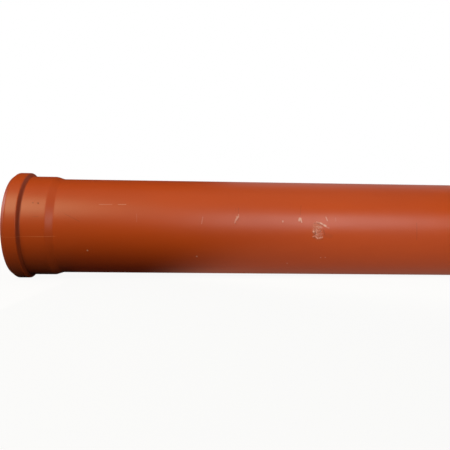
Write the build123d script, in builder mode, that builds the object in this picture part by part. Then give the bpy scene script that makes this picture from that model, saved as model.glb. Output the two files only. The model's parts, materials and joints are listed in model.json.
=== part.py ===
"""Sewer pipe of orange-brown PVC-U, nominal size 160, lying on a level floor.

The pipe is one length of extruded tube. Its left end has been belled into a socket that takes the
plain end of the next pipe, and a bead at the socket's mouth holds a rubber lip ring. The right end is
the plain spigot, chamfered so that it slides past such a ring.

Millimetres, +Z up. The pipe runs along X with the mouth of the socket at -X, and falls by half a degree
towards +X, because it lies on the socket's bead and on the spigot. The origin is on the floor, midway
along the pipe and straight below its axis.
"""

from build123d import *
from math import atan2, cos, degrees, radians, sin, tan
import os

# Tube
pipe_od = 160.0
pipe_wall = 4.0
effective_length = 1000.0  # laid length, from the end of the socket's shoulder to the spigot's end

# Spigot end
chamfer_length = 7.0
chamfer_angle = 15.0

# Socket, behind the bead
spigot_play = 0.5  # by how much the socket's bore is wider than the spigot
socket_wall = 3.6
socket_tube_length = 39.2
shoulder_length = 12.1  # cone that narrows the socket down to the tube

# Bead at the mouth, which is hollow and houses the ring
bead_wall = 3.1
groove_depth = 6.25  # beyond the socket's bore
mouth_flare = 0.75  # by how much the mouth's radius is more than the socket bore's
bevel_length = 7.2
crest_length = 17.6
flank_length = 4.2

# Rounding of the moulded corners
mouth_edge_radius = 0.8
bevel_radius = 3.0
crest_radius = 1.2
flank_foot_radius = 2.0
shoulder_radius = 6.0
inner_corner_radius = 1.0

# Rubber ring
ring_clearance = 0.2  # to the groove's walls
ring_thickness = 2.4
ring_heel = 1.6  # the ring stops this far behind the groove's front corner
lip_thickness = 1.5
lip_tip_width = 2.4
lip_setback = 3.6  # of the lip's tip from the foot of the groove's rear flank

# Radii about the pipe's axis
tube_r = pipe_od / 2
bore_r = tube_r - pipe_wall
socket_bore_r = (pipe_od + spigot_play) / 2
socket_r = socket_bore_r + socket_wall
groove_r = socket_bore_r + groove_depth
bead_r = groove_r + bead_wall
mouth_bore_r = socket_bore_r + mouth_flare
mouth_r = mouth_bore_r + bead_wall

# Stations along the outside, measured from the mouth
crest_start = bevel_length
crest_end = crest_start + crest_length
flank_foot = crest_end + flank_length
shoulder_start = flank_foot + socket_tube_length
shoulder_end = shoulder_start + shoulder_length
overall_length = shoulder_end + effective_length
chamfer_start = overall_length - chamfer_length
spigot_tip_r = tube_r - chamfer_length * tan(radians(chamfer_angle))

# Slopes of the outside against the axis, in degrees
bevel_slope = degrees(atan2(bead_r - mouth_r, bevel_length))
flank_slope = degrees(atan2(bead_r - socket_r, flank_length))
shoulder_slope = degrees(atan2(socket_r - tube_r, shoulder_length))


def corner_shift(wall, slope):
    """How far along the axis a wall's inner corner stands from the outer one where it turns by slope."""
    return wall * tan(radians(slope / 2))


def run_along(drop, slope):
    """Length along the axis in which a surface of that slope falls by drop."""
    return drop / tan(radians(slope))


# Stations along the inside, whose slopes run parallel to the outside's
groove_start = crest_start + corner_shift(bead_wall, bevel_slope)
groove_mouth = groove_start - run_along(groove_r - mouth_bore_r, bevel_slope)
groove_end = crest_end - corner_shift(bead_wall, flank_slope)
groove_foot = groove_end + run_along(groove_r - socket_bore_r, flank_slope)
seat_start = shoulder_start + corner_shift(socket_wall, shoulder_slope)
seat_end = seat_start + run_along(socket_bore_r - bore_r, shoulder_slope)

# How the pipe lies: the floor touches the rear of the bead's crest and the start of the chamfer
crest_rest = crest_end - corner_shift(crest_radius, flank_slope)
rest_angle = atan2(bead_r - tube_r, chamfer_start - crest_rest)
axis_direction = (cos(rest_angle), 0, -sin(rest_angle))
mouth_centre = (
    -overall_length / 2 * cos(rest_angle),
    0,
    bead_r * cos(rest_angle) + crest_rest * sin(rest_angle),
)
pipe_axis = Axis(mouth_centre, axis_direction)

# Half plane through the pipe's axis: x runs from the mouth to the spigot's end, y is the radius
half_plane = Plane(origin=mouth_centre, x_dir=axis_direction, z_dir=(0, -1, 0))

# Each corner of the pipe's wall, as station, radius and rounding: the outside, then back inside
wall_corners = [
    (0, mouth_r, mouth_edge_radius),
    (crest_start, bead_r, bevel_radius),
    (crest_end, bead_r, crest_radius),
    (flank_foot, socket_r, flank_foot_radius),
    (shoulder_start, socket_r, shoulder_radius),
    (shoulder_end, tube_r, shoulder_radius),
    (chamfer_start, tube_r, 0),
    (overall_length, spigot_tip_r, 0),
    (overall_length, bore_r, 0),
    (seat_end, bore_r, shoulder_radius),
    (seat_start, socket_bore_r, shoulder_radius),
    (groove_foot, socket_bore_r, inner_corner_radius),
    (groove_end, groove_r, inner_corner_radius),
    (groove_start, groove_r, inner_corner_radius),
    (groove_mouth, mouth_bore_r, inner_corner_radius),
    (0, mouth_bore_r, 0),
]

with BuildPart() as pipe:
    with BuildSketch(half_plane):
        with BuildLine():
            FilletPolyline(
                *[(station, radius) for station, radius, _ in wall_corners],
                radius=[rounding for _, _, rounding in wall_corners],
                close=True,
            )
        make_face()
    revolve(axis=pipe_axis)
pipe.part.label = "pipe"

# Corners of the ring: its back follows the groove's bevel, root and flank, and from the heel a lip
# leans inward to the spigot's radius, with a V behind it that lets the lip give
ring_r = groove_r - ring_clearance
back_start = groove_start + corner_shift(ring_clearance, bevel_slope)
back_end = groove_end - corner_shift(ring_clearance, flank_slope)
heel = groove_mouth + ring_heel
heel_r = ring_r - (back_start - heel) * tan(radians(bevel_slope))
foot_r = socket_bore_r + lip_thickness
foot = back_end + run_along(ring_r - foot_r, flank_slope)
inside_r = ring_r - ring_thickness
inside_start = back_start + ring_thickness
inside_end = back_end + run_along(ring_thickness, flank_slope) - ring_thickness
lip_tip = groove_foot - lip_setback
lip_r = tube_r

with BuildPart() as sealing_ring:
    with BuildSketch(half_plane):
        with BuildLine():
            Polyline(
                (heel, heel_r),
                (back_start, ring_r),
                (back_end, ring_r),
                (foot, foot_r),
                (inside_end, inside_r),
                (inside_start, inside_r),
                (lip_tip, lip_r + lip_thickness),
                (lip_tip, lip_r),
                (lip_tip - lip_tip_width, lip_r),
                close=True,
            )
        make_face()
    revolve(axis=pipe_axis)
sealing_ring.part.label = "sealing_ring"

os.makedirs("parts", exist_ok=True)
export_step(pipe.part, "parts/pipe.step")
export_step(sealing_ring.part, "parts/sealing_ring.step")
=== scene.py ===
"""Looks for the PVC sewer pipe: camera, studio, the plastic with its wear, and the rubber lip ring.

Everything is in metres, in the row frame. Places on the pipe are given along its own axis, by their
station from the socket's mouth and their angle round the axis, which is 0 towards the camera and grows
upwards. Marks on the pipe are placed by the pixels at which the photograph shows their ends.
"""

import json
from collections import namedtuple
from math import atan2, cos, pi, radians, sin, sqrt, tan

import bpy
from mathutils import Matrix, Vector


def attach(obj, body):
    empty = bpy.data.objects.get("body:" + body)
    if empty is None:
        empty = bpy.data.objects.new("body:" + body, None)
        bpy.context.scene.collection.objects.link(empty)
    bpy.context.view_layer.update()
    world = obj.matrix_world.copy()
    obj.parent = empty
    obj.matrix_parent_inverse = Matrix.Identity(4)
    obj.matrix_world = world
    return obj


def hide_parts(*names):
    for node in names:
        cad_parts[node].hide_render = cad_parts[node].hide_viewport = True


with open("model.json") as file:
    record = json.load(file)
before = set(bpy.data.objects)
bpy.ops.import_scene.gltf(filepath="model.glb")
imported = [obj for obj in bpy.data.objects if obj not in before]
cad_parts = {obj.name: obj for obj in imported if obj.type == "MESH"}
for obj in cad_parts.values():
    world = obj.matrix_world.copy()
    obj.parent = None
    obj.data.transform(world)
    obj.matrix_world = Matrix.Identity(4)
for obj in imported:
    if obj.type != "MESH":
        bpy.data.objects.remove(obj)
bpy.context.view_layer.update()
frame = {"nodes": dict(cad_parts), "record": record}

MM = 0.001
PHOTO_SIZE = 450  # pixels, both ways
SLACK = 0.05 * MM  # within which two radii read from the frame count as the same

# Where the pipe lies, from the frame
mounts = {mount["name"]: mount for mount in frame["record"]["mounts"]}
AXIS = Vector(mounts["spigot"]["axis"]).normalized()
TUBE_R = mounts["spigot"]["dims"]["r_mm"] * MM
ON_AXIS = Vector(mounts["spigot"]["pos_m"])
UP = Vector((-AXIS.z, 0, AXIS.x))
TOWARDS_CAMERA = Vector((0, -1, 0))


def profile(node, mouth):
    """Station and radius of each corner of a CAD node, measured along the pipe from mouth."""
    offsets = [vertex.co - mouth for vertex in frame["nodes"][node].data.vertices]
    stations = [offset.dot(AXIS) for offset in offsets]
    return [(station, (offset - AXIS * station).length) for station, offset in zip(stations, offsets)]


MOUTH = ON_AXIS + AXIS * min(station for station, _ in profile("pipe", ON_AXIS))
PIPE_PROFILE = profile("pipe", MOUTH)
BEAD_R = max(radius for _, radius in PIPE_PROFILE)
CREST_END = max(station for station, radius in PIPE_PROFILE if radius > BEAD_R - SLACK)
CHAMFER_START = max(station for station, radius in PIPE_PROFILE if radius > TUBE_R - SLACK)
SOCKET_R = TUBE_R + 4 * MM  # of the socket's outside, nearly
OUTSIDE_R = (BEAD_R - 7 * MM, BEAD_R - 6.5 * MM)  # these radii are in the socket's wall

# The camera, matched to the outlines and rims in the photograph
FOCAL_PIXELS = 537.7
CAMERA_STATION = 311.3 * MM
CAMERA_DISTANCE = 941.8 * MM
CAMERA_ABOVE_AXIS = 4.1 * MM
CAMERA_YAW = 0.0484
CAMERA_PITCH = 0.0003
CAMERA_ROLL = 0.0118
SENSOR_WIDTH = 36  # millimetres
CLIP_START = 10 * MM

# The plastic's colour, plain and where it is deeper, scuffed, sawn, paler along the seam as a painted
# highlight, or dark with dirt and painted shade
PVC_COLOUR = (0.57, 0.0735, 0.0072)
PVC_DEEP = (0.42, 0.045, 0.005)
PVC_SCUFFED = (0.88, 0.58, 0.48)
PVC_SAWN = (0.62, 0.15, 0.045)
PVC_SEAM_HIGHLIGHT = (1.0, 0.42, 0.2)
PVC_DIRT_AND_SHADE = (0.20, 0.024, 0.004)

# What lies over the plain colour, from the bottom up: how much of each pattern shows, and its colour
LAYERS = {
    "scratches": (0.07, PVC_SCUFFED),
    # painted shade in the corner behind the bead, darker underneath
    "painted_shade": (1.0, PVC_DIRT_AND_SHADE),
    # the seam's paler colour is a painted highlight along its ridge
    "seam": (0.45, PVC_SEAM_HIGHLIGHT),
    "sawn": (0.75, PVC_SAWN),
    "dark": (1.0, PVC_DIRT_AND_SHADE),
    "pale": (1.0, PVC_SCUFFED),
    "rubbed": (0.12, PVC_SCUFFED),
    "dark_flecks": (0.35, PVC_DIRT_AND_SHADE),
    "pale_flecks": (0.4, PVC_SCUFFED),
}

# How much rougher each pattern makes the plastic, and how deep it goes
ROUGHER = {"scratches": 0.08, "pale": 0.15, "dark": 0.35, "painted_shade": 0.2, "rubbed": 0.15, "sawn": 0.3}
DEPTHS = {
    "broad_lines": 0.015 * MM,
    "die_lines": 0.005 * MM,
    "turning": 0.12 * MM,
    "seam": 0.06 * MM,
    "rubbed_mottle": 0.6 * MM,
}

# The noises behind the patterns, whose scale is in cells to the metre
Noise = namedtuple("Noise", "scale detail roughness")
WOBBLE_NOISE = Noise(900, 2, 0.5)
GRIT_NOISE = Noise(1400, 3, 0.6)
MOTTLE_NOISE = Noise(450, 3, 0.7)
DIE_LINE_NOISE = Noise(420, 4, 0.6)
BROAD_LINE_NOISE = Noise(70, 2, 0.5)
DRIFT_NOISE = Noise(18, 3, 0.5)
SCRATCH_NOISE = Noise(1500, 2, 0.7)
TURNING_NOISE = Noise(2600, 2, 0.5)
TALC_NOISE = Noise(160, 5, 0.7)
RUBBER_NOISE = Noise(2500, 2, 0.5)
NOISE_MIDDLE = (0.5, 0.5, 0.5)

# By how much places are squeezed before a noise is read, which draws it out along the pipe or round it
LINE_STRETCH = 0.02
DRIFT_STRETCH = 0.3
SCRATCH_STRETCH = 0.09
TURNING_STRETCH = 0.002

# Every smooth step here is the two values that it runs between, and what it gives at them where that
# isn't 0 and 1. These are of the noises.
GRIT_STEP = (0.3, 0.6, 0.55, 1.0)
PALE_FLECK_STEP = (0.52, 0.62)
DARK_FLECK_STEP = (0.48, 0.38)
SCRATCH_STEP = (0.66, 0.78)
DEEP_STEP = (0.3, 0.7, 0.0, 0.2)
ROUGHNESS_STEP = (0.4, 0.9, 0.35, 0.42)
DIE_LINE_SHARE = 0.3  # of the die's lines in the roughness

WOBBLE = 0.9 * MM  # by how much the marks' edges wander
MARK_OUTER = 0.65  # a mark is gone at this share of its width from its line
MARK_INNER = 0.15  # and at its full strength within this one

Mark = namedtuple("Mark", "x0 y0 x1 y1 width strength")

# Pale scuffs: the pixels at their ends, their width in millimetres and how strong they are
PALE_MARKS = {
    "patch_ridge_left": Mark(316.5, 222.0, 320.0, 222.8, 2.2, 0.45),
    "patch_ridge_middle": Mark(320.6, 223.0, 322.0, 223.9, 2.6, 1.0),
    "patch_ridge_bend": Mark(322.0, 223.9, 324.2, 225.2, 2.4, 0.6),
    "patch_ridge_right": Mark(324.4, 225.3, 325.8, 226.1, 3.2, 1.0),
    "patch_ridge_end": Mark(326.3, 226.9, 329.0, 228.0, 2.2, 0.25),
    "patch_veil": Mark(317.4, 226.6, 321.6, 227.4, 3.6, 0.3),
    "patch_dot": Mark(313.5, 231.3, 313.7, 231.7, 2.9, 1.0),
    "patch_grey_left": Mark(316.4, 229.6, 317.4, 230.6, 3.0, 0.3),
    "patch_grey_low": Mark(316.8, 233.8, 317.8, 235.0, 3.0, 0.3),
    "patch_arc_left": Mark(313.0, 236.6, 313.8, 236.4, 2.2, 0.5),
    "patch_arc_middle": Mark(315.0, 236.0, 316.4, 237.0, 1.8, 0.5),
    "patch_arc_low": Mark(316.4, 237.2, 317.8, 238.6, 1.8, 0.7),
    "patch_arc_right": Mark(319.2, 238.0, 322.4, 237.3, 2.6, 0.5),
    "streak_by_patch": Mark(326.0, 217.2, 327.4, 220.6, 2.0, 0.5),
    "double_left": Mark(299.2, 220.4, 299.9, 218.4, 3.6, 0.75),
    "double_right": Mark(300.7, 218.2, 301.6, 222.2, 2.0, 0.85),
    "slanted_top": Mark(238.5, 214.6, 238.6, 217.0, 2.2, 0.35),
    "slanted_middle": Mark(238.0, 216.8, 235.8, 220.0, 3.0, 0.6),
    "slanted_low": Mark(235.8, 219.8, 234.8, 222.6, 2.2, 0.4),
    "slanted_side": Mark(236.4, 216.4, 236.7, 217.6, 1.8, 0.35),
    "single_dot": Mark(282.8, 221.2, 282.9, 221.6, 2.8, 0.75),
    "thin_upright": Mark(202.8, 217.0, 201.6, 223.8, 1.4, 0.3),
    "thin_upright_left": Mark(136.7, 214.0, 136.7, 222.0, 1.2, 0.12),
    "faint_by_patch": Mark(335.6, 218.0, 335.8, 221.0, 1.5, 0.12),
    "streak_left_far": Mark(99.0, 204.4, 112.0, 204.4, 1.2, 0.23),
    "streak_left": Mark(118.0, 204.4, 126.0, 204.4, 1.3, 0.35),
    "low_dot_left": Mark(87.3, 250.4, 87.5, 250.5, 2.8, 0.9),
    "low_dot_middle": Mark(196.6, 256.3, 197.0, 256.5, 2.4, 0.6),
    "low_dot_right": Mark(287.0, 263.2, 287.4, 263.4, 2.0, 0.35),
    "pair_dot_left": Mark(320.5, 257.5, 320.8, 257.7, 2.0, 0.35),
    "pair_dot_right": Mark(325.0, 257.3, 325.4, 257.5, 2.0, 0.3),
}

# Dark marks, given the same way. Those named for shade or shadow are painted shade beside the scuffed
# patch; the rest are dark marks on the plastic
DARK_MARKS = {
    "patch_shade_left": Mark(314.3, 223.0, 315.4, 224.0, 2.4, 0.3),
    "patch_shade_ridge": Mark(317.0, 223.4, 320.8, 224.4, 1.6, 0.5),
    "patch_shade_under": Mark(321.0, 225.0, 323.4, 226.2, 1.6, 0.3),
    "patch_pit_top": Mark(313.0, 232.6, 313.6, 232.8, 1.6, 0.6),
    "patch_pit_left": Mark(313.8, 234.0, 315.0, 234.4, 2.0, 0.9),
    "patch_pit_right": Mark(315.4, 232.8, 315.9, 233.8, 1.8, 0.9),
    "patch_pit_above": Mark(315.0, 230.3, 315.4, 231.6, 1.6, 0.4),
    "patch_red": Mark(313.6, 237.6, 315.4, 238.2, 2.2, 0.5),
    "patch_edge_top": Mark(319.2, 232.2, 321.6, 229.9, 1.8, 0.4),
    "patch_edge_right": Mark(323.6, 230.0, 324.8, 234.8, 1.8, 0.45),
    "patch_foot": Mark(317.6, 240.0, 323.0, 239.4, 1.6, 0.3),
    # painted shadow beside the raised patch
    "patch_painted_shadow": Mark(325.2, 234.6, 330.5, 236.2, 9.0, 0.13),
    "double_upright": Mark(301.0, 205.5, 300.3, 215.0, 1.6, 0.2),
    "double_between": Mark(300.0, 220.2, 300.4, 222.4, 1.4, 0.4),
    "slanted_upright": Mark(238.6, 208.0, 238.6, 212.5, 2.2, 0.22),
    "slanted_upright_left": Mark(235.6, 208.5, 235.8, 211.0, 2.0, 0.14),
    "slanted_shade": Mark(238.8, 218.4, 237.6, 220.6, 1.8, 0.35),
    "slanted_foot": Mark(235.6, 223.0, 235.8, 223.8, 1.8, 0.4),
    "right_upright": Mark(416.6, 223.0, 416.6, 240.0, 1.6, 0.25),
    "shoulder_slant": Mark(64.7, 213.9, 79.6, 221.4, 1.4, 0.25),
}

# Dark marks on the socket, which is wider than the tube
SOCKET_MARKS = {
    "speck_right": Mark(38.0, 203.0, 38.3, 203.2, 2.4, 1.0),
    "speck_left": Mark(32.7, 202.6, 33.0, 202.8, 2.0, 0.8),
    "rub": Mark(33.0, 216.5, 38.0, 216.5, 1.6, 0.2),
    "smudge": Mark(42.0, 229.3, 42.7, 229.7, 2.4, 0.15),
}

# Where the tube has been rubbed rough, round the pale patch
RUBBED = Mark(316.2, 226.4, 318.6, 235.0, 15.0, 1.0)

# The mould's parting line, a fine ridge along the socket, weaker near the mouth. Its paler colour is a
# painted highlight along the ridge
SEAM_ANGLE = radians(-12.0)
SEAM_WIDTH = 1.1 * MM
SEAM_GROWS = (30 * MM, 65 * MM, 0.4, 1.0)
SEAM_FADES = (88 * MM, 80 * MM)

# Painted shade in the corner behind the bead, darkening it from the crest's edge to a little past the
# flank's foot
PAINTED_SHADE_STRENGTH = 0.75
PAINTED_SHADE_LEAST = 0.7  # where the noise thins it most, as a share of that
PAINTED_SHADE_THINS = (0.2, 0.6, PAINTED_SHADE_LEAST * PAINTED_SHADE_STRENGTH, PAINTED_SHADE_STRENGTH)
PAINTED_SHADE_START = CREST_END + 0.2 * MM
PAINTED_SHADE_END = CREST_END + 6.8 * MM
PAINTED_SHADE_EDGE = 1.8 * MM

# Underneath, the painted shade reaches further, thinly
SHADE_TAIL_STRENGTH = 0.4
SHADE_TAIL_FADES = (CREST_END + 13 * MM, PAINTED_SHADE_END - 2 * PAINTED_SHADE_EDGE, 0.0, SHADE_TAIL_STRENGTH)
SHADE_TAIL_HEIGHTS = (0.2 * TUBE_R, -0.4 * TUBE_R)

CHAMFER_EDGE = 0.2 * MM  # over which the moulded outside turns into the sawn end

# The rubber: black, with a little of the talc that keeps new rings from sticking
RUBBER_COLOUR = (0.018, 0.018, 0.019)
TALC_COLOUR = (0.30, 0.29, 0.27)
TALC_MOST = 0.22
TALC_STEP = (0.5, 0.75, 0.0, TALC_MOST)
RUBBER_ROUGHNESS = (0.42, 0.75)
RUBBER_GRAIN = 0.03 * MM

# The rubber ring's own sizes; what seats in the groove is read from the frame
RING_THICKNESS = 2.4 * MM
LIP_THICKNESS = 1.5 * MM
LIP_FREE_R = 78.3 * MM  # no spigot is in the socket, so the lip stands further in than on one
LIP_TIP_WIDTH = 2.4 * MM
LIP_SETBACK = 2.26 * MM  # of the lip's tip from the ring's rear edge
BACK_SETBACK = 0.6 * MM  # of the inside's rear corner from the back's
FIN_PLACES = (0.25, 0.45, 0.65)  # small fins on the lip's front, as shares of the way to the heel
FIN_WIDTH = 1.6 * MM
FIN_HEIGHT = 0.7 * MM
RING_STEPS = 288  # round the axis
ROUNDING_STEPS = 6  # along each rounded corner
ROUNDINGS = {
    "heel": 0.5 * MM,
    "back": 0.8 * MM,
    "foot": 0.4 * MM,
    "inside_rear": 0.6 * MM,
    "inside_front": 0.5 * MM,
    "lip_back": 0.3 * MM,
    "lip_tip": 0.4 * MM,
    "lip_edge": 1.2 * MM,
    "fin_foot": 0.25 * MM,
    "fin_tip": 0.35 * MM,
}

# The studio
WHITE = (1.0, 1.0, 1.0)
FLOOR_REACH = 6.0
FLOOR_SHADE = 0.08  # what the floor throws back; the rest of its white is for the camera alone
FLOOR_FADE = (0.9, 2.6, 1 - FLOOR_SHADE, 1.0)  # that white, by the distance from the middle
ROOM_STRENGTH = 0.05
ROOM_COLOUR = (1.0, 0.72, 0.6)
WARM_LIGHT = (1.0, 0.9, 0.5)
COOL_LIGHT = (0.94, 1.0, 1.0)
TOP_LIGHT = (1.0, 1.0, 0.9)

# Soft boxes: the station where each hangs and the one that it faces, its elevation in degrees round the
# pipe's axis and its distance from it, its width and height, its power in watts and its colour
SoftBox = namedtuple("SoftBox", "station aim elevation distance width height watts colour")
SOFT_BOXES = {
    "key_far_left": SoftBox(-0.9, -0.9, 45, 2.0, 0.65, 1.3, 29.0, WARM_LIGHT),
    "key_left": SoftBox(0.0, 0.0, 37, 0.9, 0.9, 0.42, 0.58, WHITE),
    "key_right": SoftBox(0.73, 0.73, 17, 0.9, 0.72, 0.46, 3.75, COOL_LIGHT),
    "front": SoftBox(0.3, 0.3, 20, 2.0, 1.0, 0.6, 0.5, WHITE),
    "over": SoftBox(0.3, 0.3, 76, 1.6, 2.2, 1.3, 3.0, TOP_LIGHT),
    "rim_right": SoftBox(0.85, 0.85, 134, 0.8, 0.9, 0.7, 0.85, WHITE),
    "beside_mouth": SoftBox(-0.9, 0.0, 132, 0.4, 0.3, 0.3, 1.6, WHITE),
    "beyond_spigot": SoftBox(1.5, 1.08, 115, 0.5, 0.3, 0.3, 0.9, WHITE),
    "back": SoftBox(0.45, 0.45, 174, 1.7, 2.4, 0.3, 13.0, WHITE),
}

# The lit part of the floor, which the pipe's right part shows from below. Its left edge is soft, and
# runs further right the nearer it is to the camera. Nearness is measured towards the camera.
GLOW_X = (-0.44, 0.9)
GLOW_Y = (-1.0, 0.15)
GLOW_LIFT = 1 * MM
GLOW_STRENGTH = 0.345
GLOW_COLOUR = (1.0, 0.9, 0.75)
GLOW_WANES = (1.0, 0.25, 0.4, 1.0)  # by nearness: it is weaker the nearer it is
GLOW_STARTS = (-0.03, 0.035)  # by nearness too: there is none behind the pipe
GLOW_EDGE_X = -0.28  # right under the pipe
GLOW_EDGE_SLOPE = 0.9
GLOW_EDGE_SOFTNESS = 0.07
GLOW_EDGE_SPREAD = 0.35  # by how much the edge gets softer with each metre of nearness

# The pipe's own colour, which the floor close to it throws back
BOUNCE_COLOUR = (1.0, 0.45, 0.3)
BOUNCE_FADES = (0.05, 0.4, 0.06, 0.0)  # its strength, by nearness


def on_pipe(station, angle, radius):
    """The point at that station and angle, that far from the pipe's axis."""
    out = TOWARDS_CAMERA * cos(angle) + UP * sin(angle)
    return MOUTH + AXIS * station + out * radius


def camera_axes():
    """The camera's right, up and forward directions, in the row frame."""
    yaw, pitch, roll = CAMERA_YAW, CAMERA_PITCH, CAMERA_ROLL
    forward = Vector((sin(yaw) * cos(pitch), cos(yaw) * cos(pitch), sin(pitch)))
    level_right = Vector((cos(yaw), -sin(yaw), 0))
    level_up = level_right.cross(forward)
    right = cos(roll) * level_right + sin(roll) * level_up
    up = cos(roll) * level_up - sin(roll) * level_right
    from_pipe_axes = Matrix((AXIS, -TOWARDS_CAMERA, UP)).transposed()
    return [from_pipe_axes @ direction for direction in (right, up, forward)]


CAMERA_PLACE = on_pipe(CAMERA_STATION, 0, CAMERA_DISTANCE) + UP * CAMERA_ABOVE_AXIS
CAMERA_RIGHT, CAMERA_UP, CAMERA_FORWARD = camera_axes()


def pixel_on_pipe(x, y, radius):
    """Where the photograph's pixel shows a cylinder of that radius: its station, and the way round it
    from the side towards the camera, as an arc of the tube's radius."""
    across = (x - PHOTO_SIZE / 2) / FOCAL_PIXELS
    down = (y - PHOTO_SIZE / 2) / FOCAL_PIXELS
    ray = CAMERA_FORWARD + CAMERA_RIGHT * across - CAMERA_UP * down
    start = CAMERA_PLACE - MOUTH
    start_out = start - AXIS * start.dot(AXIS)
    ray_out = ray - AXIS * ray.dot(AXIS)
    a = ray_out.length_squared
    b = start_out.dot(ray_out)
    c = start_out.length_squared - radius**2
    hit = start + ray * (-b - sqrt(b * b - a * c)) / a
    angle = atan2(hit.dot(UP), hit.dot(TOWARDS_CAMERA))
    return Vector((hit.dot(AXIS), angle * TUBE_R, 0))


def new_object(name, data):
    """An object with that data, in the scene."""
    made = bpy.data.objects.new(name, data)
    bpy.context.scene.collection.objects.link(made)
    return made


def make_camera():
    """The camera that took the photograph."""
    camera = new_object("camera", bpy.data.cameras.new("camera"))
    turn = Matrix((CAMERA_RIGHT, CAMERA_UP, -CAMERA_FORWARD)).transposed().to_4x4()
    camera.matrix_world = Matrix.Translation(CAMERA_PLACE) @ turn
    camera.data.sensor_width = SENSOR_WIDTH
    camera.data.lens = FOCAL_PIXELS / PHOTO_SIZE * SENSOR_WIDTH
    camera.data.clip_start = CLIP_START
    bpy.context.scene.camera = camera


def make_soft_box(name, box):
    """An area lamp. It lights and is reflected, but the camera doesn't see it."""
    data = bpy.data.lights.new(name, "AREA")
    data.shape = "RECTANGLE"
    data.size = box.width
    data.size_y = box.height
    data.energy = box.watts
    data.color = box.colour
    lamp = new_object(name, data)
    lamp.location = on_pipe(box.station, radians(box.elevation), box.distance)
    towards = on_pipe(box.aim, 0, 0) - lamp.location
    lamp.rotation_euler = towards.to_track_quat("-Z", "Y").to_euler()
    lamp.visible_camera = False


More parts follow.
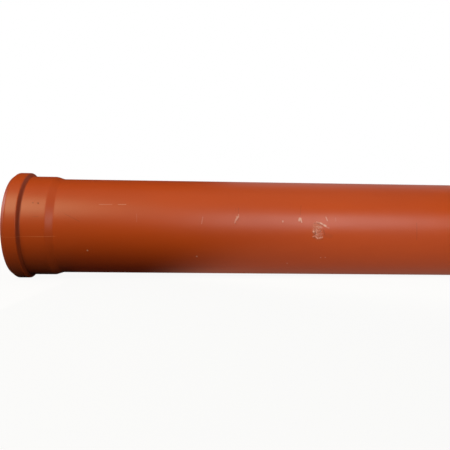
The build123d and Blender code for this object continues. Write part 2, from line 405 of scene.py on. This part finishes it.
class Graph:
    """A node tree, with short calls for the nodes that the finishes need."""

    def __init__(self, tree):
        self.nodes = tree.nodes
        self.links = tree.links

    def put(self, socket, value):
        """Links an output to the socket, or sets the socket itself where the value is plain."""
        if isinstance(value, bpy.types.NodeSocket):
            self.links.new(value, socket)
        else:
            socket.default_value = value

    def math(self, operation, *values):
        node = self.nodes.new("ShaderNodeMath")
        node.operation = operation
        for socket, value in zip(node.inputs, values):
            self.put(socket, value)
        return node.outputs["Value"]

    def times(self, product, *factors):
        for factor in factors:
            product = self.math("MULTIPLY", product, factor)
        return product

    def vector(self, operation, first, second=(0, 0, 0)):
        node = self.nodes.new("ShaderNodeVectorMath")
        node.operation = operation
        self.put(node.inputs[0], first)
        self.put(node.inputs["Scale" if operation == "SCALE" else 1], second)
        return node.outputs["Value" if operation in ("DOT_PRODUCT", "LENGTH") else "Vector"]

    def combine(self, x, y, z):
        node = self.nodes.new("ShaderNodeCombineXYZ")
        for socket, value in zip(node.inputs, (x, y, z)):
            self.put(socket, value)
        return node.outputs["Vector"]

    def remap(self, value, low, high, to_low=0.0, to_high=1.0):
        """Smooth step of the value from low to high, which may run either way."""
        node = self.nodes.new("ShaderNodeMapRange")
        node.interpolation_type = "SMOOTHSTEP"
        node.clamp = False
        for name, number in (("Value", value), ("From Min", low), ("From Max", high)):
            self.put(node.inputs[name], number)
        node.inputs["To Min"].default_value = to_low
        node.inputs["To Max"].default_value = to_high
        return node.outputs["Result"]

    def noise(self, place, kind, output="Fac"):
        node = self.nodes.new("ShaderNodeTexNoise")
        self.put(node.inputs["Vector"], place)
        node.inputs["Scale"].default_value = kind.scale
        node.inputs["Detail"].default_value = kind.detail
        node.inputs["Roughness"].default_value = kind.roughness
        return node.outputs[output]

    def mix(self, factor, first, second):
        node = self.nodes.new("ShaderNodeMix")
        node.data_type = "RGBA"
        self.put(node.inputs[0], factor)
        for socket, colour in ((node.inputs[6], first), (node.inputs[7], second)):
            self.put(socket, colour if isinstance(colour, bpy.types.NodeSocket) else (*colour, 1))
        return node.outputs[2]

    def camera_ray(self):
        return self.nodes.new("ShaderNodeLightPath").outputs["Is Camera Ray"]

    def light(self, kind, strength, colour=WHITE):
        """What an emission or background node gives."""
        node = self.nodes.new(kind)
        node.inputs["Color"].default_value = (*colour, 1)
        self.put(node.inputs["Strength"], strength)
        return node.outputs[0]

    def emission(self, strength, colour=WHITE):
        return self.light("ShaderNodeEmission", strength, colour)

    def add_shaders(self, first, second):
        node = self.nodes.new("ShaderNodeAddShader")
        self.put(node.inputs[0], first)
        self.put(node.inputs[1], second)
        return node.outputs["Shader"]

    def mix_shaders(self, factor, first, second):
        node = self.nodes.new("ShaderNodeMixShader")
        for socket, value in zip(node.inputs, (factor, first, second)):
            self.put(socket, value)
        return node.outputs["Shader"]

    def show(self, kind, shader):
        """Makes the shader the surface of the material or world that this tree belongs to."""
        self.put(self.nodes.new(kind).inputs["Surface"], shader)

    def bump(self, height, distance, normal=None):
        node = self.nodes.new("ShaderNodeBump")
        node.inputs["Distance"].default_value = distance
        self.put(node.inputs["Height"], height)
        if normal:
            self.put(node.inputs["Normal"], normal)
        return node.outputs["Normal"]

    def position(self):
        return self.nodes.new("ShaderNodeTexCoord").outputs["Object"]

    def along_and_round(self):
        """Station, the two ways across the axis, and the angle round it, of the point that is shaded."""
        offset = self.vector("SUBTRACT", self.position(), MOUTH)
        station = self.vector("DOT_PRODUCT", offset, AXIS)
        front = self.vector("DOT_PRODUCT", offset, TOWARDS_CAMERA)
        height = self.vector("DOT_PRODUCT", offset, UP)
        return station, front, height, self.math("ARCTAN2", height, front)

    def mark(self, place, mark, radius):
        """The mark's strength along its line on a cylinder of that radius, fading to 0 at its edges."""
        start = pixel_on_pipe(mark.x0, mark.y0, radius)
        line = pixel_on_pipe(mark.x1, mark.y1, radius) - start
        offset = self.vector("SUBTRACT", place, start)
        along = self.vector("DOT_PRODUCT", offset, line / line.length_squared)
        along = self.math("MINIMUM", self.math("MAXIMUM", along, 0.0), 1.0)
        nearest = self.vector("SCALE", line, along)
        gap = self.vector("LENGTH", self.vector("SUBTRACT", offset, nearest))
        width = mark.width * MM
        return self.remap(gap, MARK_OUTER * width, MARK_INNER * width, 0.0, mark.strength)

    def marks(self, place, marks, radius):
        """The strongest of the marks at each point."""
        total = None
        for mark in marks.values():
            one = self.mark(place, mark, radius)
            total = one if total is None else self.math("MAXIMUM", total, one)
        return total


def new_material(name):
    """A material with its tree and its shader."""
    material = bpy.data.materials.new(name)
    material.use_nodes = True
    return material, Graph(material.node_tree), material.node_tree.nodes["Principled BSDF"]


def bare_material(name):
    """A material with an empty tree."""
    material, graph, _ = new_material(name)
    graph.nodes.clear()
    return material, graph


def make_plastic():
    """Orange-brown PVC: smooth, drawn lengthwise, scuffed where the photograph shows it."""
    material, graph, shader = new_material("orange_brown_pvc")
    station, front, height, angle = graph.along_and_round()
    round_place = graph.combine(station, graph.times(angle, TUBE_R), 0.0)

    def drawn_out(stretch):
        """The place with its station squeezed, for patterns that are long along the pipe."""
        return graph.combine(graph.times(station, stretch), front, height)

    # The marks are only on the side that the photograph shows
    wander = graph.vector("SUBTRACT", graph.noise(round_place, WOBBLE_NOISE, "Color"), NOISE_MIDDLE)
    mark_place = graph.vector("ADD", round_place, graph.vector("SCALE", wander, WOBBLE))
    grit = graph.remap(graph.noise(round_place, GRIT_NOISE), *GRIT_STEP)
    pale = graph.times(graph.marks(mark_place, PALE_MARKS, TUBE_R), grit)
    dark = graph.marks(mark_place, DARK_MARKS, TUBE_R)
    dark = graph.math("MAXIMUM", dark, graph.marks(mark_place, SOCKET_MARKS, SOCKET_R))
    rubbed = graph.mark(round_place, RUBBED, TUBE_R)
    mottle = graph.noise(round_place, MOTTLE_NOISE)

    off_seam = graph.math("ABSOLUTE", graph.math("SUBTRACT", angle, SEAM_ANGLE))
    seam = graph.times(
        graph.remap(graph.times(off_seam, TUBE_R), SEAM_WIDTH / 2, 0.0),
        graph.remap(station, *SEAM_FADES),
        graph.remap(station, *SEAM_GROWS),
    )

    # Lines that the die leaves along the pipe, a slow drift of the colour, and fine handling scratches
    die_lines = graph.noise(drawn_out(LINE_STRETCH), DIE_LINE_NOISE)
    broad_lines = graph.noise(drawn_out(LINE_STRETCH), BROAD_LINE_NOISE)
    drift = graph.noise(drawn_out(DRIFT_STRETCH), DRIFT_NOISE)
    scratches = graph.remap(graph.noise(drawn_out(SCRATCH_STRETCH), SCRATCH_NOISE), *SCRATCH_STEP)

    # Painted shade behind the bead, on the outside alone
    shade_begins = graph.remap(station, PAINTED_SHADE_START, PAINTED_SHADE_START + PAINTED_SHADE_EDGE)
    shade_ends = graph.remap(station, PAINTED_SHADE_END, PAINTED_SHADE_END - PAINTED_SHADE_EDGE)
    # the painted shade's thin tail on the underside
    shade_tail = graph.times(
        graph.remap(station, *SHADE_TAIL_FADES),
        shade_begins,
        graph.remap(height, *SHADE_TAIL_HEIGHTS),
    )
    off_axis = graph.vector("LENGTH", graph.combine(front, height, 0.0))
    painted_shade = graph.times(
        graph.math("MAXIMUM", graph.times(shade_begins, shade_ends), shade_tail),
        graph.remap(off_axis, *OUTSIDE_R),
        graph.remap(drift, *PAINTED_SHADE_THINS),
    )

    # The machined chamfer and the sawn end
    sawn = graph.remap(station, CHAMFER_START - CHAMFER_EDGE, CHAMFER_START + CHAMFER_EDGE)
    turning_place = graph.combine(station, 0.0, graph.times(angle, TURNING_STRETCH))

    patterns = {
        "pale": pale,
        "dark": dark,
        "rubbed": rubbed,
        "rubbed_mottle": graph.times(rubbed, mottle),
        "pale_flecks": graph.times(rubbed, graph.remap(mottle, *PALE_FLECK_STEP)),
        "dark_flecks": graph.times(rubbed, graph.remap(mottle, *DARK_FLECK_STEP)),
        "seam": seam,
        "die_lines": die_lines,
        "broad_lines": broad_lines,
        "scratches": scratches,
        "painted_shade": painted_shade,
        "sawn": sawn,
        "turning": graph.times(graph.noise(turning_place, TURNING_NOISE), sawn),
    }

    colour = graph.mix(graph.remap(drift, *DEEP_STEP), PVC_COLOUR, PVC_DEEP)
    for name, (share, over) in LAYERS.items():
        colour = graph.mix(graph.times(patterns[name], share), colour, over)
    graph.put(shader.inputs["Base Color"], colour)

    unevenness = graph.math("ADD", drift, graph.times(die_lines, DIE_LINE_SHARE))
    roughness = graph.remap(unevenness, *ROUGHNESS_STEP)
    for name, extra in ROUGHER.items():
        roughness = graph.math("ADD", roughness, graph.times(patterns[name], extra))
    graph.put(shader.inputs["Roughness"], roughness)

    normal = None
    for name, depth in DEPTHS.items():
        normal = graph.bump(patterns[name], depth, normal)
    graph.put(shader.inputs["Normal"], normal)
    return material


def make_rubber():
    """Black rubber with a little talc on it."""
    material, graph, shader = new_material("black_rubber")
    position = graph.position()
    talc = graph.remap(graph.noise(position, TALC_NOISE), *TALC_STEP)
    grain = graph.noise(position, RUBBER_NOISE)
    graph.put(shader.inputs["Base Color"], graph.mix(talc, RUBBER_COLOUR, TALC_COLOUR))
    graph.put(shader.inputs["Roughness"], graph.remap(talc, 0.0, TALC_MOST, *RUBBER_ROUGHNESS))
    graph.put(shader.inputs["Normal"], graph.bump(grain, RUBBER_GRAIN))
    return material


def rounded(corners):
    """The closed outline through the corners, each given with its rounding, with those turned as arcs."""
    points = []
    for i, (corner, radius) in enumerate(corners):
        before = (corners[i - 1][0] - corner).normalized()
        after = (corners[(i + 1) % len(corners)][0] - corner).normalized()
        half = before.angle(after) / 2
        centre = corner + (before + after).normalized() * radius / sin(half)
        first = corner + before * radius / tan(half) - centre
        last = corner + after * radius / tan(half) - centre
        turn = first.angle_signed(last)
        for step in range(ROUNDING_STEPS + 1):
            spoke = first.copy()
            spoke.rotate(Matrix.Rotation(-turn * step / ROUNDING_STEPS, 2))
            points.append(centre + spoke)
    return points


def turned_mesh(name, outline, steps):
    """A smooth mesh of the outline, as stations and radii, turned about the pipe's axis."""
    count = len(outline)
    vertices = []
    faces = []
    for step in range(steps):
        angle = 2 * pi * step / steps
        vertices += [on_pipe(point.x, angle, point.y) for point in outline]
        here = step * count
        there = (step + 1) % steps * count
        for i in range(count):
            j = (i + 1) % count
            faces.append((here + i, here + j, there + j, there + i))
    mesh = bpy.data.meshes.new(name)
    mesh.from_pydata(vertices, [], faces)
    mesh.shade_smooth()
    return mesh


def fins(start, end):
    """Corners of the small fins on the straight line from start to end, with their roundings."""
    along = (end - start).normalized()
    out = Vector((-along.y, along.x))
    corners = []
    for share in FIN_PLACES:
        middle = start.lerp(end, share)
        corners += [
            (middle - along * FIN_WIDTH / 2, ROUNDINGS["fin_foot"]),
            (middle + out * FIN_HEIGHT, ROUNDINGS["fin_tip"]),
            (middle + along * FIN_WIDTH / 2, ROUNDINGS["fin_foot"]),
        ]
    return corners


def make_ring():
    """The lip ring as it sits in an empty socket: its back follows the groove, its lip leans free."""
    corners = profile("sealing_ring", MOUTH)
    back_r = max(radius for _, radius in corners)
    back = [station for station, radius in corners if radius > back_r - SLACK]
    heel = Vector(min(corners))
    foot = Vector(max(corners))
    inside_r = back_r - RING_THICKNESS
    lip_tip = foot.x - LIP_SETBACK
    lip_edge = Vector((lip_tip - LIP_TIP_WIDTH, LIP_FREE_R))
    outline = rounded(
        [
            (heel, ROUNDINGS["heel"]),
            (Vector((min(back), back_r)), ROUNDINGS["back"]),
            (Vector((max(back), back_r)), ROUNDINGS["back"]),
            (foot, ROUNDINGS["foot"]),
            (Vector((max(back) - BACK_SETBACK, inside_r)), ROUNDINGS["inside_rear"]),
            (Vector((min(back) + RING_THICKNESS, inside_r)), ROUNDINGS["inside_front"]),
            (Vector((lip_tip, LIP_FREE_R + LIP_THICKNESS)), ROUNDINGS["lip_back"]),
            (Vector((lip_tip, LIP_FREE_R)), ROUNDINGS["lip_tip"]),
            (lip_edge, ROUNDINGS["lip_edge"]),
            *fins(lip_edge, heel),
        ]
    )
    mesh = turned_mesh("lip_ring", outline, RING_STEPS)
    mesh.materials.append(make_rubber())
    ring = new_object("lip_ring", mesh)
    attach(ring, "root")
    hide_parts("sealing_ring")


def make_world():
    """White where the camera looks past the floor, and a dim room for everything else."""
    world = bpy.data.worlds.new("studio")
    bpy.context.scene.world = world
    world.use_nodes = True
    graph = Graph(world.node_tree)
    graph.nodes.clear()
    room = graph.light("ShaderNodeBackground", ROOM_STRENGTH, ROOM_COLOUR)
    white = graph.light("ShaderNodeBackground", 1.0)
    graph.show("ShaderNodeOutputWorld", graph.mix_shaders(graph.camera_ray(), room, white))


def stage_sheet(name, x, y, height, material):
    """A flat rectangle that belongs to the studio."""
    mesh = bpy.data.meshes.new(name)
    corners = ((x[0], y[0]), (x[1], y[0]), (x[1], y[1]), (x[0], y[1]))
    mesh.from_pydata([(*corner, height) for corner in corners], [], [(0, 1, 2, 3)])
    mesh.materials.append(material)
    sheet = new_object(name, mesh)
    return sheet


def make_floor():
    """A pale floor that the camera sees as white where nothing shades it."""
    material, graph = bare_material("floor")
    matte = graph.nodes.new("ShaderNodeBsdfDiffuse")
    matte.inputs["Color"].default_value = (FLOOR_SHADE, FLOOR_SHADE, FLOOR_SHADE, 1)
    distance = graph.vector("LENGTH", graph.position())
    white = graph.emission(graph.remap(distance, *FLOOR_FADE))
    seen = graph.mix_shaders(graph.camera_ray(), graph.emission(0.0), white)
    graph.show("ShaderNodeOutputMaterial", graph.add_shaders(matte.outputs["BSDF"], seen))
    stage_sheet("floor", (-FLOOR_REACH, FLOOR_REACH), (-FLOOR_REACH, FLOOR_REACH), 0, material)


def make_floor_glow():
    """The lit part of the floor, for what it throws up at the pipe. The camera sees the floor instead."""
    material, graph = bare_material("floor_glow")
    x = graph.vector("DOT_PRODUCT", graph.position(), (1, 0, 0))
    nearness = graph.vector("DOT_PRODUCT", graph.position(), (0, -1, 0))
    edge = graph.math("MULTIPLY_ADD", nearness, GLOW_EDGE_SLOPE, GLOW_EDGE_X)
    softness = graph.math("MULTIPLY_ADD", nearness, GLOW_EDGE_SPREAD, GLOW_EDGE_SOFTNESS)
    softness = graph.math("MAXIMUM", softness, GLOW_EDGE_SOFTNESS)
    past_edge = graph.math("DIVIDE", graph.math("SUBTRACT", x, edge), softness)
    strength = graph.times(
        graph.remap(past_edge, -1.0, 1.0),
        graph.remap(nearness, *GLOW_WANES),
        graph.remap(nearness, *GLOW_STARTS),
        GLOW_STRENGTH,
    )
    lit = graph.emission(strength, GLOW_COLOUR)
    bounced = graph.emission(graph.remap(nearness, *BOUNCE_FADES), BOUNCE_COLOUR)
    graph.show("ShaderNodeOutputMaterial", graph.add_shaders(lit, bounced))
    sheet = stage_sheet("floor_glow", GLOW_X, GLOW_Y, GLOW_LIFT, material)
    sheet.visible_camera = False
    sheet.visible_shadow = False


make_camera()
make_world()
make_floor()
for name, box in SOFT_BOXES.items():
    make_soft_box(name, box)
make_floor_glow()
frame["nodes"]["pipe"].material_slots[0].material = make_plastic()
make_ring()

bpy.context.scene.view_settings.view_transform = "Standard"
